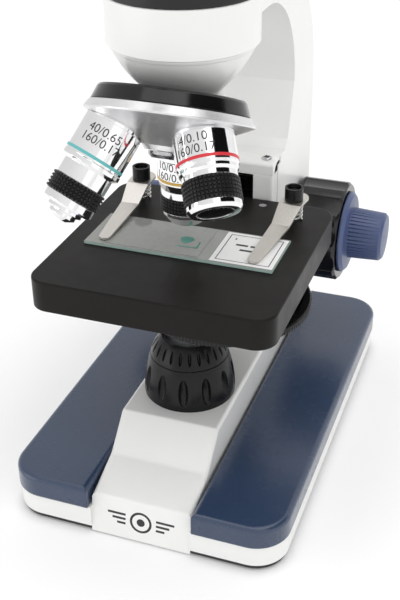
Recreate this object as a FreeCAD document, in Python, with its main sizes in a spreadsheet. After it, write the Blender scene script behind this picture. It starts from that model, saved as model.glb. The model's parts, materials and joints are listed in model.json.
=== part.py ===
"""Student compound microscope: fixed arm, focusing stage, tilted triple nosepiece.

Frame: X to the right of the person at the eyepiece, the front towards -Y, Z up.
The origin is where the optical axis meets the table.
"""
import FreeCAD, Part
import math
import os
import Sketcher

V = FreeCAD.Vector
doc = FreeCAD.newDocument("Microscope")
sheet = doc.addObject("Spreadsheet::Sheet", "Sizes")


class Size:
    """A length that knows its value and the sheet expression that gives it."""

    def __init__(self, value, text):
        self.value = float(value)
        self.text = text

    def __add__(self, other):
        other = size(other)
        return Size(self.value + other.value, f"({self.text} + {other.text})")

    def __sub__(self, other):
        other = size(other)
        return Size(self.value - other.value, f"({self.text} - {other.text})")

    def __rsub__(self, other):
        return size(other) - self

    def __mul__(self, factor):
        factor = size(factor)
        return Size(self.value * factor.value, f"{self.text} * {factor.text}")

    def __neg__(self):
        return Size(-self.value, f"(0 - {self.text})")

    __radd__ = __add__
    __rmul__ = __mul__


def size(value):
    """A plain number becomes a Size whose expression is that number."""
    if isinstance(value, Size):
        return value
    return Size(value, f"({value:.6g})")


def cell(alias, value):
    """Write one driving dimension into the sheet and return it as a Size."""
    cell.row += 1
    sheet.set(f"A{cell.row}", alias)
    sheet.set(f"B{cell.row}", str(value))
    sheet.setAlias(f"B{cell.row}", alias)
    return Size(value, f"Sizes.{alias}")


cell.row = 0

# ---------------------------------------------------------------- driving dimensions
base_width = cell("base_width", 114.5)
base_front = cell("base_front", -59.0)
base_back = cell("base_back", 120.0)
base_corner = cell("base_corner", 14.0)
foot_height = cell("foot_height", 1.0)
plate_top = cell("plate_top", 3.0)
tray_top = cell("tray_top", 12.4)
panel_top = cell("panel_top", 21.8)
platform_top = cell("platform_top", 36.7)
spine_half = cell("spine_half", 20.8)
panel_gap = cell("panel_gap", 0.9)
nose_lean = cell("nose_lean", 0.159)
wall = cell("wall", 2.5)

arm_half = cell("arm_half", 20.0)
arm_back = cell("arm_back", 117.8)
arm_top = cell("arm_top", 201.4)
arm_outer_radius = cell("arm_outer_radius", 65.8)
throat_radius = cell("throat_radius", 42.0)
throat_back = cell("throat_back", 78.0)
throat_top = cell("throat_top", 188.0)
ring_radius = cell("ring_radius", 27.1)
ring_bottom = cell("ring_bottom", 184.3)
column_front = cell("column_front", 56.4)
cover_front = cell("cover_front", 50.0)
cover_top = cell("cover_top", 119.5)
slot_half = cell("slot_half", 11.0)
slot_bottom = cell("slot_bottom", 47.0)
slot_top = cell("slot_top", 113.8)
light_bore = cell("light_bore", 9.0)
collar_height = cell("collar_height", 8.0)
collar_bore = cell("collar_bore", 20.3)

apex_height = cell("apex_height", 193.9)
nose_tilt = cell("nose_tilt", 24.2)
nose_plate_top = cell("nose_plate_top", 27.7)
nose_plate_bottom = cell("nose_plate_bottom", 33.0)
nose_plate_radius = cell("nose_plate_radius", 28.0)
turret_radius = cell("turret_radius", 30.2)
seat_station = cell("seat_station", 45.7)
thread_radius = cell("thread_radius", 10.16)
barrel_radius = cell("barrel_radius", 10.7)
pivot_radius = cell("pivot_radius", 3.0)

knob_y = cell("knob_y", 92.0)
knob_z = cell("knob_z", 72.0)
coarse_radius = cell("coarse_radius", 22.8)
coarse_inner = cell("coarse_inner", 20.5)
coarse_outer = cell("coarse_outer", 43.1)
flange_radius = cell("flange_radius", 18.7)
fine_radius = cell("fine_radius", 11.7)
fine_end = cell("fine_end", 62.0)
sleeve_radius = cell("sleeve_radius", 5.0)
shaft_radius = cell("shaft_radius", 3.0)
gear_module = cell("gear_module", 0.8)
gear_teeth = cell("gear_teeth", 16)
running_fit = cell("running_fit", 0.05)

stage_half = cell("stage_half", 47.5)
stage_front = cell("stage_front", -45.0)
stage_back = cell("stage_back", 48.8)
stage_top = cell("stage_top", 103.6)
stage_skirt = cell("stage_skirt", 12.2)
stage_plate_thick = cell("stage_plate_thick", 3.6)
bracket_bottom = cell("bracket_bottom", 85.2)
disc_radius = cell("disc_radius", 33.7)
disc_offset = cell("disc_offset", 15.5)
disc_bottom = cell("disc_bottom", 81.3)
disc_top = cell("disc_top", 84.4)
clip_x = cell("clip_x", 33.0)
clip_y = cell("clip_y", 34.0)
clip_height = cell("clip_height", 111.6)
clip_sheet = cell("clip_sheet", 0.9)

lamp_radius = cell("lamp_radius", 18.9)
lamp_seam = cell("lamp_seam", 54.4)
lamp_top = cell("lamp_top", 63.4)
head_top = cell("head_top", 222.0)
tube_tilt = cell("tube_tilt", 45.0)
tube_foot = cell("tube_foot", 236.0)
tube_radius = cell("tube_radius", 14.0)
eyepiece_radius = cell("eyepiece_radius", 11.6)
doc.recompute()

nodes = {}

# ---------------------------------------------------------------- building helpers


def node(name, obj):
    """Register a finished sub-part under its own name."""
    obj.Label = name
    nodes[name] = obj
    return obj


def bind(obj, **expressions):
    """Bind properties to sheet expressions; x, y and z are the placement's base."""
    for name, amount in expressions.items():
        path = f"Placement.Base.{name}" if name in ("x", "y", "z") else name
        obj.setExpression(path, size(amount).text)
    return obj


def primitive(kind, name, **expressions):
    return bind(doc.addObject(f"Part::{kind}", name), **expressions)


def box(name, x, y, z):
    """A box from three (low, high) spans."""
    spans = [(size(low), size(high)) for low, high in (x, y, z)]
    (x0, x1), (y0, y1), (z0, z1) = spans
    return primitive("Box", name, Length=x1 - x0, Width=y1 - y0, Height=z1 - z0, x=x0, y=y0, z=z0)


def cone(name, low_radius, high_radius, height, at):
    x, y, z = at
    return primitive("Cone", name, Radius1=low_radius, Radius2=high_radius, Height=height, x=x, y=y, z=z)


AXIS_TURN = {
    "X": FreeCAD.Rotation(V(0, 1, 0), 90),
    "Y": FreeCAD.Rotation(V(1, 0, 0), -90),
    "Z": FreeCAD.Rotation(),
}


def rod(name, radius, low, high, at=(0, 0), axis="Z"):
    """A cylinder from low to high along an axis; at is its place in the other two, in order."""
    low, high = size(low), size(high)
    first, second = at
    base = {"X": (low, first, second), "Y": (first, low, second), "Z": (first, second, low)}[axis]
    obj = doc.addObject("Part::Cylinder", name)
    obj.Placement = FreeCAD.Placement(V(), AXIS_TURN[axis])
    return bind(obj, Radius=radius, Height=high - low, x=base[0], y=base[1], z=base[2])


def fuse(name, *shapes):
    obj = doc.addObject("Part::MultiFuse", name)
    obj.Shapes = list(shapes)
    return obj


def cut(name, base, *tools):
    obj = doc.addObject("Part::Cut", name)
    obj.Base = base
    obj.Tool = tools[0] if len(tools) == 1 else fuse(f"{name}_tools", *tools)
    return obj


def common(name, first, second):
    obj = doc.addObject("Part::Common", name)
    obj.Base = first
    obj.Tool = second
    return obj


def arc_between(start, end, radius, left):
    """The arc from start to end whose centre is on the left or right of the chord."""
    chord = end - start
    middle = (start + end) * 0.5
    side = V(-chord.y, chord.x, 0).normalize() * (1 if left else -1)
    centre = middle + side * math.sqrt(radius ** 2 - (chord.Length / 2) ** 2)
    first = math.atan2(start.y - centre.y, start.x - centre.x)
    last = math.atan2(end.y - centre.y, end.x - centre.x)
    if not left:
        first, last = last, first
    return Part.ArcOfCircle(Part.Circle(centre, V(0, 0, 1), radius), first, last)


def outline(sketch, corners, arcs=None):
    """Draw a closed outline with every corner bound to the sheet.

    corners is a list of (across, up) sizes. arcs maps the index of a stretch to
    (radius, left) where that stretch, from its corner to the next, is an arc.
    """
    arcs = arcs or {}
    corners = [(size(across), size(up)) for across, up in corners]
    points = [V(across.value, up.value, 0) for across, up in corners]
    ends = []
    for index, start in enumerate(points):
        end = points[(index + 1) % len(points)]
        if index in arcs:
            radius, left = arcs[index]
            sketch.addGeometry(arc_between(start, end, size(radius).value, left))
            ends.append((1, 2) if left else (2, 1))
        else:
            sketch.addGeometry(Part.LineSegment(start, end))
            ends.append((1, 2))
    for index in range(len(points)):
        after = (index + 1) % len(points)
        sketch.addConstraint(Sketcher.Constraint("Coincident", index, ends[index][1], after, ends[after][0]))
    for index, (across, up) in enumerate(corners):
        place = ends[index][0]
        for kind, axis_line, amount in (("DistanceX", -2, across), ("DistanceY", -1, up)):
            if abs(amount.value) < 1e-9:
                sketch.addConstraint(Sketcher.Constraint("PointOnObject", index, place, axis_line))
            else:
                sizes = (kind, -1, 1, index, place, amount.value)
                number = sketch.addConstraint(Sketcher.Constraint(*sizes))
                sketch.setExpression(f"Constraints[{number}]", amount.text)
    for index, (radius, left) in arcs.items():
        number = sketch.addConstraint(Sketcher.Constraint("Radius", index, size(radius).value))
        sketch.setExpression(f"Constraints[{number}]", size(radius).text)


def new_body(name):
    return doc.addObject("PartDesign::Body", f"{name}_body")


def sketch_on(body, name, plane, offset=0):
    """A sketch on one of the body's own origin planes, moved along its normal."""
    sketch = body.newObject("Sketcher::SketchObject", name)
    origin_plane = [item for item in body.Origin.OriginFeatures if item.Role == plane][0]
    sketch.AttachmentSupport = [(origin_plane, "")]
    sketch.MapMode = "FlatFace"
    sketch.setExpression("AttachmentOffset.Base.z", size(offset).text)
    return sketch


def prism(name, plane, corners, low, high, arcs=None):
    """A body padded from an outline: XY pads up, YZ pads along +X, XZ pads along -Y."""
    body = new_body(name)
    sketch = sketch_on(body, f"{name}_outline", plane, low)
    outline(sketch, corners, arcs)
    pad = body.newObject("PartDesign::Pad", f"{name}_pad")
    pad.Profile = sketch
    pad.setExpression("Length", (size(high) - size(low)).text)
    return body


def turned(name, corners, arcs=None):
    """A body turned about its own Z axis from an outline of (radius, height) corners."""
    body = new_body(name)
    sketch = sketch_on(body, f"{name}_outline", "XZ_Plane")
    outline(sketch, corners, arcs)
    turn = body.newObject("PartDesign::Revolution", f"{name}_turn")
    turn.Profile = sketch
    turn.ReferenceAxis = (sketch, ["V_Axis"])
    turn.Angle = 360
    return body


def round_edges(body, name, radius, chosen):
    """Fillet the edges of the body's last feature that the test picks."""
    doc.recompute()
    feature = body.Tip
    picked = [f"Edge{i}" for i, edge in enumerate(feature.Shape.Edges, 1) if chosen(edge)]
    fillet = body.newObject("PartDesign::Fillet", name)
    fillet.Base = (feature, picked)
    fillet.setExpression("Radius", size(radius).text)
    body.Tip = fillet
    return body


def upright(edge):
    """True for a straight edge that runs along Z."""
    ends = [vertex.Point for vertex in edge.Vertexes]
    if len(ends) != 2:
        return False
    along = ends[0] - ends[1]
    return abs(along.z) > 1 and along.cross(V(0, 0, 1)).Length < 1e-6


def at_height(edge, height):
    return all(abs(vertex.Point.z - size(height).value) < 1e-3 for vertex in edge.Vertexes)


def ring_of_cuts(body, name, plane, corners, low, high, count, arcs=None):
    """Cut a pocket through the body and repeat it round the body's Z axis."""
    doc.recompute()
    before = body.Tip
    sketch = sketch_on(body, f"{name}_outline", plane, high)
    outline(sketch, corners, arcs)
    pocket = body.newObject("PartDesign::Pocket", f"{name}_pocket")
    pocket.Profile = sketch
    pocket.setExpression("Length", (size(high) - size(low)).text)
    doc.recompute()
    if pocket.Shape.Volume >= before.Shape.Volume - 1e-6:
        raise RuntimeError(f"{name} cuts nothing")
    pattern = body.newObject("PartDesign::PolarPattern", f"{name}_ring")
    pattern.Originals = [pocket]
    pattern.Axis = (sketch, ["N_Axis"])
    pattern.Angle = 360
    pattern.Occurrences = count
    body.Tip = pattern
    return body


def place(obj, base, rotation=FreeCAD.Rotation()):
    obj.Placement = FreeCAD.Placement(V(*[size(amount).value for amount in base]), rotation)
    return obj


def polar(radius, degrees):
    angle = math.radians(degrees)
    return radius * math.cos(angle), radius * math.sin(angle)


# ---------------------------------------------------------------- base


def base_outline(inset):
    """The base's plan as a rectangle, set in from the outer edge."""
    left, right = size(inset) - base_width * 0.5, base_width * 0.5 - size(inset)
    front, back = base_front + inset, base_back - inset
    return [(left, front), (right, front), (right, back), (left, back)]


def base_slab(name, inset, low, high):
    slab = prism(name, "XY_Plane", base_outline(inset), low, high)
    return round_edges(slab, f"{name}_corners", base_corner - inset, upright)


def nose_face(height):
    """How far forward the spine's leaning front face stands at a height."""
    return base_front + 0.65 + nose_lean * size(height)


def spine_profile(inset, floor):
    """The white spine from the side: leaning nose, low ramp, riser and lamp platform."""
    nose_top = platform_top - 18.8
    return [
        (nose_face(floor) + inset, floor),
        (nose_face(nose_top) + inset, nose_top - inset),
        (base_front + 22.2 + inset, platform_top - 12.5 - inset),
        (base_front + 35.0 + inset, platform_top - inset),
        (base_back - 0.5 - inset, platform_top - inset),
        (base_back - 0.5 - inset, floor),
    ]


BASE_SCREWS = [(x, y) for x in (-44, 44) for y in (-44, 105)]
FEET = [(x, y) for x in (-41, 41) for y in (-30, 91)]
ARM_SCREWS = [(x, y) for x in (-10, 10) for y in (84, 106)]
JACK_HEIGHT = 22
DIAL_Y = 46
DIAL_Z = 29.2


def build_base():
    tray = base_slab("tray", 0.6, plate_top, tray_top)
    rim_top = tray_top + 1
    ahead = base_front - 2
    nose_room = prism("nose_room", "YZ_Plane", [
        (ahead, 0), (nose_face(0), 0), (nose_face(rim_top), rim_top), (ahead, rim_top),
    ], -spine_half, spine_half)
    spine = prism("spine", "YZ_Plane", spine_profile(0, plate_top), -spine_half, spine_half)
    crease = platform_top - 12.5
    spine = round_edges(spine, "spine_crease", 6, lambda edge: at_height(edge, crease))
    spine = round_edges(spine, "spine_edges", 1.6, lambda edge: edge.BoundBox.ZMin > 10)
    lip_foot, lip_back = foot_height - 0.2, base_front + 3.2
    lip = prism("nose_lip", "YZ_Plane", [
        (nose_face(lip_foot), lip_foot), (nose_face(plate_top), plate_top),
        (lip_back, plate_top), (lip_back, lip_foot),
    ], -spine_half, spine_half)
    hollow = base_slab("tray_hollow", 4.2, plate_top - 1, tray_top - wall)
    spine_hollow = prism(
        "spine_hollow", "YZ_Plane", spine_profile(wall, plate_top - 1), wall - spine_half, spine_half - wall
    )
    solid = fuse("base_solid", cut("tray_open_at_nose", tray, nose_room), spine, lip)
    shell = cut("base_shell", solid, hollow, spine_hollow)
    bosses = [
        rod(f"base_boss_{i}", 4, plate_top, tray_top - wall, at) for i, at in enumerate(BASE_SCREWS)
    ]
    holes = [rod(f"base_boss_hole_{i}", 1.4, plate_top - 1, 9, at) for i, at in enumerate(BASE_SCREWS)]
    holes += [rod(f"arm_screw_hole_{i}", 1.6, 30, platform_top + 1, at) for i, at in enumerate(ARM_SCREWS)]
    holes.append(rod("lamp_hole", 15, 30, platform_top + 1))
    holes.append(rod("jack_hole", 4.1, base_back - 5, base_back + 1, (0, JACK_HEIGHT), "Y"))
    holes.append(rod("dial_hole", 2.1, -spine_half - 1, wall + 1 - spine_half, (DIAL_Y, DIAL_Z), "X"))
    node("base_housing", cut("base_housing", fuse("base_with_bosses", shell, *bosses), *holes))

    plate = base_slab("bottom_slab", 1.4, foot_height, plate_top)
    gap_half = spine_half + 0.2
    nose_gap = box("nose_gap", (-gap_half, gap_half), (base_front - 1, base_front + 3.4), (0, 4))
    sinks = []
    for i, (x, y) in enumerate(BASE_SCREWS):
        sinks.append(cone(f"sink_{i}", 3.0, 1.4, 1.6, (x, y, foot_height)))
        sinks.append(rod(f"plate_hole_{i}", 1.4, 0, 4, (x, y)))
    sinks += [rod(f"foot_hole_{i}", 2.5, 0, 4, at) for i, at in enumerate(FEET)]
    node("base_plate", cut("base_plate", plate, nose_gap, *sinks))

    feet = []
    for i, at in enumerate(FEET):
        feet.append(rod(f"foot_pad_{i}", 7, 0, foot_height, at))
        feet.append(rod(f"foot_stem_{i}", 2.5, foot_height - 0.2, plate_top + 1.2, at))
    node("rubber_feet", fuse("rubber_feet", *feet))

    screws = []
    for i, (x, y) in enumerate(BASE_SCREWS):
        screws.append(cone(f"screw_head_{i}", 3.0, 1.4, 1.6, (x, y, foot_height)))
        screws.append(rod(f"screw_shank_{i}", 1.4, foot_height + 0.4, 9, (x, y)))
    for i, at in enumerate(ARM_SCREWS):
        screws.append(rod(f"arm_screw_{i}", 1.6, 31, 49, at))
        screws.append(rod(f"arm_screw_head_{i}", 3.2, 31.6, platform_top - wall, at))
    node("frame_screws", fuse("frame_screws", *screws))

    for side, name in ((-1, "left"), (1, "right")):
        inner, outer = spine_half + panel_gap, base_width * 0.5
        low, high = (-outer, -inner) if side < 0 else (inner, outer)
        corners = [(low, base_front), (high, base_front), (high, base_back), (low, base_back)]
        panel = prism(f"panel_{name}", "XY_Plane", corners, tray_top, panel_top)
        outer_value = outer.value

        def outer_corner(edge):
            return upright(edge) and abs(abs(edge.Vertexes[0].Point.x) - outer_value) < 0.01

        panel = round_edges(panel, f"panel_corners_{name}", base_corner, outer_corner)
        panel = round_edges(panel, f"panel_top_{name}", 2.2, lambda edge: at_height(edge, panel_top))
        pocket_sketch = sketch_on(panel, f"panel_hollow_{name}_outline", "XY_Plane", tray_top)
        outline(pocket_sketch, [
            (low + wall, base_front + 6), (high - wall, base_front + 6),
            (high - wall, base_back - 6), (low + wall, base_back - 6),
        ])
        pocket = panel.newObject("PartDesign::Pocket", f"panel_hollow_{name}")
        pocket.Profile = pocket_sketch
        pocket.Reversed = True
        pocket.setExpression("Length", (panel_top - tray_top - wall).text)
        panel.Tip = pocket
        node(f"side_panel_{name}", panel)


def build_electrics():
    board = rod("lamp_board_disc", 14.6, 37.4, 39.0)
    dome = primitive("Sphere", "led_dome", Radius=2.6, z=39.8)
    leg = rod("led_base", 3.4, 38.8, 40.4)
    node("led_board", fuse("led_board", board, leg, dome))

    driver = box("driver_card", (-14, 14), (20, 62), (9, 10.6))
    chip = box("driver_chip", (-5, 5), (30, 38), (10.4, 12.4))
    coil = rod("driver_coil", 4, 10.4, 15, (6, 52))
    cap = rod("driver_capacitor", 3.2, 10.4, 17, (-7, 50))
    corners = [(-11, 24), (11, 24), (0, 58)]
    legs = [rod(f"driver_post_{i}", 2, plate_top, 9.2, at) for i, at in enumerate(corners)]
    node("driver_board", fuse("driver_board", driver, chip, coil, cap, *legs))

    flange = rod("jack_flange", 5.4, base_back - 0.5, base_back + 0.7, (0, JACK_HEIGHT), "Y")
    barrel = rod("jack_barrel", 4.1, base_back - 12, base_back - 0.3, (0, JACK_HEIGHT), "Y")
    bore = rod("jack_bore", 2.75, base_back - 10.5, base_back + 2, (0, JACK_HEIGHT), "Y")
    pin = rod("jack_pin", 1.05, base_back - 11, base_back - 0.8, (0, JACK_HEIGHT), "Y")
    node("dc_jack", fuse("dc_jack", cut("jack_shell", fuse("jack_solid", flange, barrel), bore), pin))

    dial = turned("dial", [(0, 0), (5.6, 0), (6.2, 0.6), (5.8, 7.0), (4.8, 8.0), (0, 8.0)])
    dial = ring_of_cuts(
        dial, "dial_notch", "XY_Plane", [(5.5, -0.35), (7, -0.35), (7, 0.35), (5.5, 0.35)], 1.4, 9, 24
    )
    place(dial, (-spine_half - 0.3, DIAL_Y, DIAL_Z), FreeCAD.Rotation(V(0, 1, 0), -90))
    stem = rod("dial_shaft", 2.0, -spine_half - 1, 4 + wall - spine_half, (DIAL_Y, DIAL_Z), "X")
    node("brightness_dial", fuse("brightness_dial", dial, stem))


# ---------------------------------------------------------------- arm and column


def build_arm():
    throat_centre_y = throat_back - throat_radius
    throat_centre_z = throat_top - throat_radius
    arc_centre_z = arm_top - arm_outer_radius
    arc_centre_y = arm_back - arm_outer_radius
    corners = [
        (column_front, platform_top),
        (arm_back, platform_top),
        (arm_back, arc_centre_z),
        (arc_centre_y, arm_top),
        (0, arm_top),
        (0, throat_top),
        (throat_centre_y, throat_top),
        (throat_back, throat_centre_z),
        (throat_back - 8, throat_centre_z - 23),
        (cover_front + 16, cover_top),
        (cover_front + 9.6, cover_top),
        (cover_front + 9.6, cover_top - 3),
        (column_front, cover_top - 3),
    ]
    arcs = {2: (arm_outer_radius, True), 6: (throat_radius, False)}
    casting = prism("arm_casting", "YZ_Plane", corners, -arm_half, arm_half, arcs)

    def back_corner(edge):
        span = edge.BoundBox
        return span.YMin > 48 and span.YMax > arm_back.value - 0.1 and span.XLength < 1

    casting = round_edges(casting, "arm_back_edges", 7, back_corner)
    ring = turned("arm_ring", [
        (0, ring_bottom), (ring_radius - 0.4, ring_bottom), (ring_radius, ring_bottom + 0.4),
        (ring_radius, arm_top - 0.3), (ring_radius - 0.3, arm_top), (0, arm_top),
    ])
    bores = [
        rod("arm_ring_bore", collar_bore, arm_top - 9, arm_top + 1),
        rod("arm_light_bore", light_bore, ring_bottom - 1, arm_top),
        box("focus_well", (-12.3, 12.3), (column_front - 1, knob_y + 11), (40, 116)),
        rod("bushing_seat", 7.5, -arm_half - 1, arm_half + 1, (knob_y, knob_z), "X"),
    ]
    bores += [rod(f"arm_screw_thread_{i}", 1.6, platform_top - 1, 50, at) for i, at in enumerate(ARM_SCREWS)]
    node("arm", cut("arm", fuse("arm_solid", casting, ring), *bores))

    corners = [
        (cover_front, platform_top), (column_front - 0.1, platform_top), (column_front - 0.1, cover_top - 2.9),
        (cover_front + 9.4, cover_top - 2.9), (cover_front + 9.4, cover_top), (cover_front, cover_top - 6.5),
    ]
    cover_half = arm_half - 0.4
    bulge = (9.4 ** 2 + 6.5 ** 2) / (2 * 9.4)
    cover = prism("cover", "YZ_Plane", corners, -cover_half, cover_half, {4: (bulge, True)})

    def front_corner(edge):
        span = edge.BoundBox
        return span.ZLength > 4 and span.XLength < 1 and span.YMin < cover_front.value + 0.1

    cover = round_edges(cover, "cover_edges", 1.8, front_corner)
    slot = box("cover_slot", (-slot_half, slot_half), (40, 60), (slot_bottom, slot_top))
    node("column_cover", cut("column_cover", cover, slot))

    bushings = []
    at = (knob_y, knob_z)
    bore_radius = sleeve_radius + running_fit
    for side in (-1, 1):
        low, high = (12.4, 20.2) if side > 0 else (-20.2, -12.4)
        outer = rod(f"bushing_{side + 1}", 7.5, low, high, at, "X")
        inner = rod(f"bushing_bore_{side + 1}", bore_radius, low - 1, high + 1, at, "X")
        bushings.append(cut(f"bushing_ring_{side + 1}", outer, inner))
    node("focus_bushings", fuse("focus_bushings", *bushings))


# ---------------------------------------------------------------- nosepiece

NOSE_TURN = FreeCAD.Rotation(V(1, 0, 0), -nose_tilt.value)
APEX = (0, 0, apex_height)
SIN_TILT = math.sin(math.radians(nose_tilt.value))
COS_TILT = math.cos(math.radians(nose_tilt.value))


def nose_place(obj):
    """Stand a piece drawn about the turret's own axis at the apex, tilted forward."""
    return place(obj, APEX, NOSE_TURN)


def nose_box(name, x, y, z):
    """A box on the turret's tilted axes, from three (low, high) spans."""
    corners = [(x[0], y[0]), (x[1], y[0]), (x[1], y[1]), (x[0], y[1])]
    return nose_place(prism(name, "XY_Plane", corners, *z))


def build_nosepiece():
    shoulder, neck = ring_radius - 0.6, 14.2
    bowl = turned("bowl", [
        (0, ring_bottom - 0.05), (shoulder, ring_bottom - 0.05), (shoulder - 1.0, ring_bottom - 1.6),
        (neck + 0.9, ring_bottom - 15.8), (neck, ring_bottom - 17.4), (neck, 145), (0, 145),
    ], {1: (4, False), 2: (46, False), 3: (3, True)})
    above_plate = nose_box("above_nose_plate", (-60, 60), (-60, 60), (0.05 - nose_plate_top, 120))
    bowl = common("bowl_cut_to_tilt", bowl, above_plate)
    bore = rod("bowl_bore", light_bore, 140, 200)
    pivot_hole = nose_place(turned("bowl_pivot_hole", [
        (0, -40), (pivot_radius, -40), (pivot_radius, -16), (0, -16),
    ]))
    node("nosepiece_bowl", cut("nosepiece_bowl", bowl, bore, pivot_hole))

    top, bottom = -nose_plate_top, -nose_plate_bottom
    plate = nose_place(turned("nose_disc", [
        (pivot_radius, top), (nose_plate_radius - 2.6, top), (nose_plate_radius - 1.8, top - 0.8),
        (nose_plate_radius, bottom), (pivot_radius, bottom),
    ]))
    spring_room = nose_box("spring_room", (-11.5, 11.5), (16, 25.5), (bottom - 1, bottom + 1.6))
    light = rod("nose_disc_bore", light_bore, 140, 200)
    node("nosepiece_plate", cut("nosepiece_plate", plate, spring_room, light))

    leaf = Part.makeBox(20, 6, 0.5, V(-10, 18.2, bottom.value + 0.9))
    ball = Part.makeSphere(1.3, V(0, 21.2, bottom.value + 1.05))
    post = Part.makeCylinder(1.2, 0.38, V(-8.5, 21.2, bottom.value + 1.2))
    spring = doc.addObject("Part::Feature", "click_spring")
    spring.Shape = leaf.fuse([ball, post]).removeSplitter()
    node("click_spring", nose_place(spring))

    shaft = [
        (0, -16.5), (pivot_radius, -16.5), (pivot_radius, -48.2), (6.0, -48.2), (6.0, -49.4), (4.6, -50.6),
        (0, -50.6),
    ]
    node("nosepiece_pivot", nose_place(turned("pivot", shaft)))

    cone_rise = 1 / COS_TILT
    rim, hub = turret_radius.value - 0.6, 8.5
    face = [(radius, -(seat_station.value - radius * SIN_TILT) * cone_rise) for radius in (rim, hub)]
    turret = turned("turret_shell", [
        (pivot_radius + 0.06, bottom - 0.3), (nose_plate_radius + 0.5, bottom - 0.3),
        (turret_radius, face[0][1] + 0.9), (turret_radius, face[0][1] + 0.3), face[0], face[1],
        (7.4, -48.0), (pivot_radius + 0.06, -48.0),
    ])
    nose_place(turret)
    seats = []
    for index in range(3):
        seat = turned(f"seat_{index}", [(0, -52), (thread_radius, -52), (thread_radius, -30), (0, -30)])
        seat.Placement = objective_placement(index)
        seats.append(seat)
    node("turret", cut("turret", turret, *seats))


def objective_placement(index):
    """Where an objective's own axis lies: the apex, swung round the turret by thirds."""
    apex = FreeCAD.Placement(V(0, 0, apex_height.value), NOSE_TURN)
    swing = FreeCAD.Placement(V(), FreeCAD.Rotation(V(0, 0, 1), 120 * index))
    upright_again = FreeCAD.Placement(V(), FreeCAD.Rotation(V(1, 0, 0), nose_tilt.value))
    return apex.multiply(swing).multiply(upright_again)


def objective_piece(name, index, corners, arcs=None):
    """A turned piece of an objective, drawn with its height as minus its station."""
    piece = turned(name, corners, arcs)
    piece.Placement = objective_placement(index)
    return node(name, piece)


def grip_outline(inner, outer, first, last, ridges):
    """The outline of a knurled ring: a row of shallow teeth along its outside."""
    step = (last - first) / ridges
    corners = [(inner, -first)]
    for ridge in range(ridges):
        start = first + ridge * step
        corners += [(outer - 0.45, -start), (outer, -start - step * 0.3), (outer, -start - step * 0.7)]
    return corners + [(outer - 0.45, -last), (inner, -last)]


def build_objectives():
    seat = seat_station
    thread = thread_radius - 0.06
    objective_piece("objective_10x", 0, [
        (7.5, -41.6), (thread, -41.6), (thread, -seat), (9.6, -seat), (9.6, -50.4), (11.5, -50.4),
        (11.5, -52.0), (barrel_radius, -52.6), (barrel_radius, -61.6), (10.2, -63.0), (9.6, -64.6),
        (9.6, -67.4), (8.8, -67.4), (8.8, -73.8), (9.2, -73.8), (9.2, -75.2), (6.4, -79.0), (4.2, -79.0), (4.2, -76.0), (7.5, -72.0),
    ])
    objective_piece("objective_10x_grip", 0, grip_outline(8.8, 9.9, 67.5, 73.7, 5))
    objective_piece("objective_10x_lens", 0, [(0, -74.5), (4.15, -76.4), (4.15, -78.4), (0, -78.2)])
    objective_piece("objective_4x", 2, [
        (8, -41.6), (thread, -41.6), (thread, -seat), (barrel_radius, -seat), (barrel_radius, -56.6),
        (10.2, -57.6), (10.2, -58.6), (9.5, -59.6), (9.5, -61.3), (8.8, -61.3), (8.8, -69.6), (9.5, -69.6),
        (9.5, -71.2), (8.6, -72.4), (6.4, -72.4), (6.4, -58), (8, -55),
    ])
    objective_piece("objective_4x_grip", 2, grip_outline(8.8, 9.9, 61.4, 69.5, 6))
    objective_piece("objective_4x_lens", 2, [(0, -66.0), (6.35, -67.2), (6.35, -69.6), (0, -69.2)])
    objective_piece("objective_40x", 1, [
        (6.6, -41.6), (thread, -41.6), (thread, -seat), (barrel_radius, -seat), (barrel_radius, -60.2),
        (11.0, -60.4), (11.0, -61.9), (9.3, -63.0), (9.3, -68.5), (8.8, -68.5), (8.8, -75.0), (9.3, -75.0),
        (9.3, -77.6), (8.4, -78.4), (6.6, -78.4),
    ])
    objective_piece("objective_40x_grip", 1, grip_outline(8.8, 9.9, 68.6, 74.9, 5))
    objective_piece("objective_40x_nose", 1, [
        (0, -70), (6.5, -70), (6.5, -79.6), (5.0, -80.2), (5.0, -81.4), (2.4, -82.9), (0, -82.9),
    ])


# ---------------------------------------------------------------- head

TUBE_TURN = FreeCAD.Rotation(V(1, 0, 0), tube_tilt.value)


def tube_place(obj):
    """Stand a piece drawn upright on the inclined eyepiece tube's axis."""
    return place(obj, (0, 0, tube_foot), TUBE_TURN)


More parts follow.
